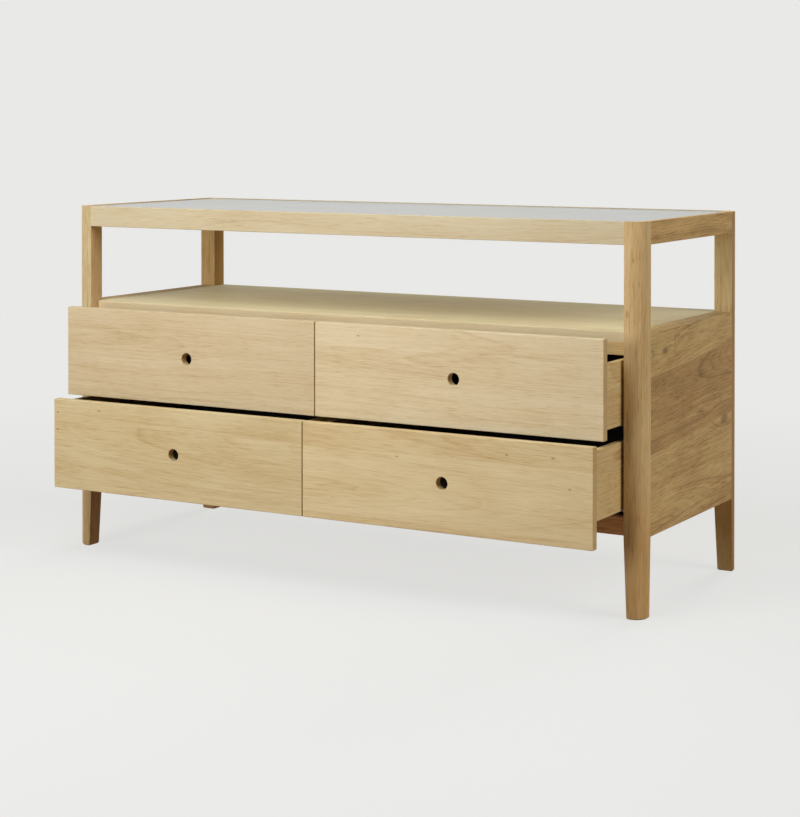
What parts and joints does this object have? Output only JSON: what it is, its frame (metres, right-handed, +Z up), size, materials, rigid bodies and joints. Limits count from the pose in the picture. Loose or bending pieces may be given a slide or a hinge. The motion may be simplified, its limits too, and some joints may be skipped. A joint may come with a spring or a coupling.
{
  "type": "four-drawer dresser with a glass top and an open bay",
  "caption": "Low wide oak dresser on tapered corner legs: drawers in two rows with round finger holes, an open bay above them and a satin glass panel let into the top.",
  "frame": {"origin": "on the floor, half way along the width and half way along the depth with the drawers drawn out as stored", "axes": "+X along the width to the right as seen from the front, the drawer fronts face -Y, +Z up"},
  "size_m": [1.4, 0.66, 0.778],
  "materials": {
    "oiled_oak": "matt oiled oak",
    "oak_drawer_box": "matt oiled oak, thin stock",
    "oak_veneered_board": "oak veneered board",
    "satin_glass": "satin glass, lacquered pale grey underneath",
    "runner_steel": "zinc-plated steel"
  },
  "bodies": {
    "case": {"back_panel": "oak_veneered_board", "bottom_panel": "oak_veneered_board", "bottom_rail_back": "oiled_oak", "bottom_rail_front": "oiled_oak", "centre_partition": "oiled_oak", "fixed_runners_lower_left": "runner_steel", "fixed_runners_lower_right": "runner_steel", "fixed_runners_upper_left": "runner_steel", "fixed_runners_upper_right": "runner_steel", "glass_top": "satin_glass", "leg_back_left": "oiled_oak", "leg_back_right": "oiled_oak", "leg_front_left": "oiled_oak", "leg_front_right": "oiled_oak", "runner_batten_lower_left": "oiled_oak", "runner_batten_lower_right": "oiled_oak", "runner_batten_upper_left": "oiled_oak", "runner_batten_upper_right": "oiled_oak", "shelf": "oiled_oak", "shelf_rail_back": "oiled_oak", "shelf_rail_front": "oiled_oak", "side_panel_left": "oiled_oak", "side_panel_right": "oiled_oak", "side_rail_left": "oiled_oak", "side_rail_right": "oiled_oak", "top_board": "oak_veneered_board", "top_rail_back": "oiled_oak", "top_rail_front": "oiled_oak", "top_rail_left": "oiled_oak", "top_rail_right": "oiled_oak"},
    "drawer_upper_left": {"drawer_upper_left_back": "oak_drawer_box", "drawer_upper_left_bottom": "oak_veneered_board", "drawer_upper_left_channels": "runner_steel", "drawer_upper_left_front": "oiled_oak", "drawer_upper_left_side_left": "oak_drawer_box", "drawer_upper_left_side_right": "oak_drawer_box"},
    "drawer_upper_right": {"drawer_upper_right_back": "oak_drawer_box", "drawer_upper_right_bottom": "oak_veneered_board", "drawer_upper_right_channels": "runner_steel", "drawer_upper_right_front": "oiled_oak", "drawer_upper_right_side_left": "oak_drawer_box", "drawer_upper_right_side_right": "oak_drawer_box"},
    "drawer_lower_left": {"drawer_lower_left_back": "oak_drawer_box", "drawer_lower_left_bottom": "oak_veneered_board", "drawer_lower_left_channels": "runner_steel", "drawer_lower_left_front": "oiled_oak", "drawer_lower_left_side_left": "oak_drawer_box", "drawer_lower_left_side_right": "oak_drawer_box"},
    "drawer_lower_right": {"drawer_lower_right_back": "oak_drawer_box", "drawer_lower_right_bottom": "oak_veneered_board", "drawer_lower_right_channels": "runner_steel", "drawer_lower_right_front": "oiled_oak", "drawer_lower_right_side_left": "oak_drawer_box", "drawer_lower_right_side_right": "oak_drawer_box"}
  },
  "joints": [
    {"name": "drawer_upper_left_slide", "type": "slide", "parent": "case", "child": "drawer_upper_left", "axis": [0, -1, 0], "range_m": [-0.093, 0.237]},
    {"name": "drawer_upper_right_slide", "type": "slide", "parent": "case", "child": "drawer_upper_right", "axis": [0, -1, 0], "range_m": [-0.093, 0.237]},
    {"name": "drawer_lower_left_slide", "type": "slide", "parent": "case", "child": "drawer_lower_left", "axis": [0, -1, 0], "range_m": [-0.141, 0.189]},
    {"name": "drawer_lower_right_slide", "type": "slide", "parent": "case", "child": "drawer_lower_right", "axis": [0, -1, 0], "range_m": [-0.141, 0.189]}
  ]
}
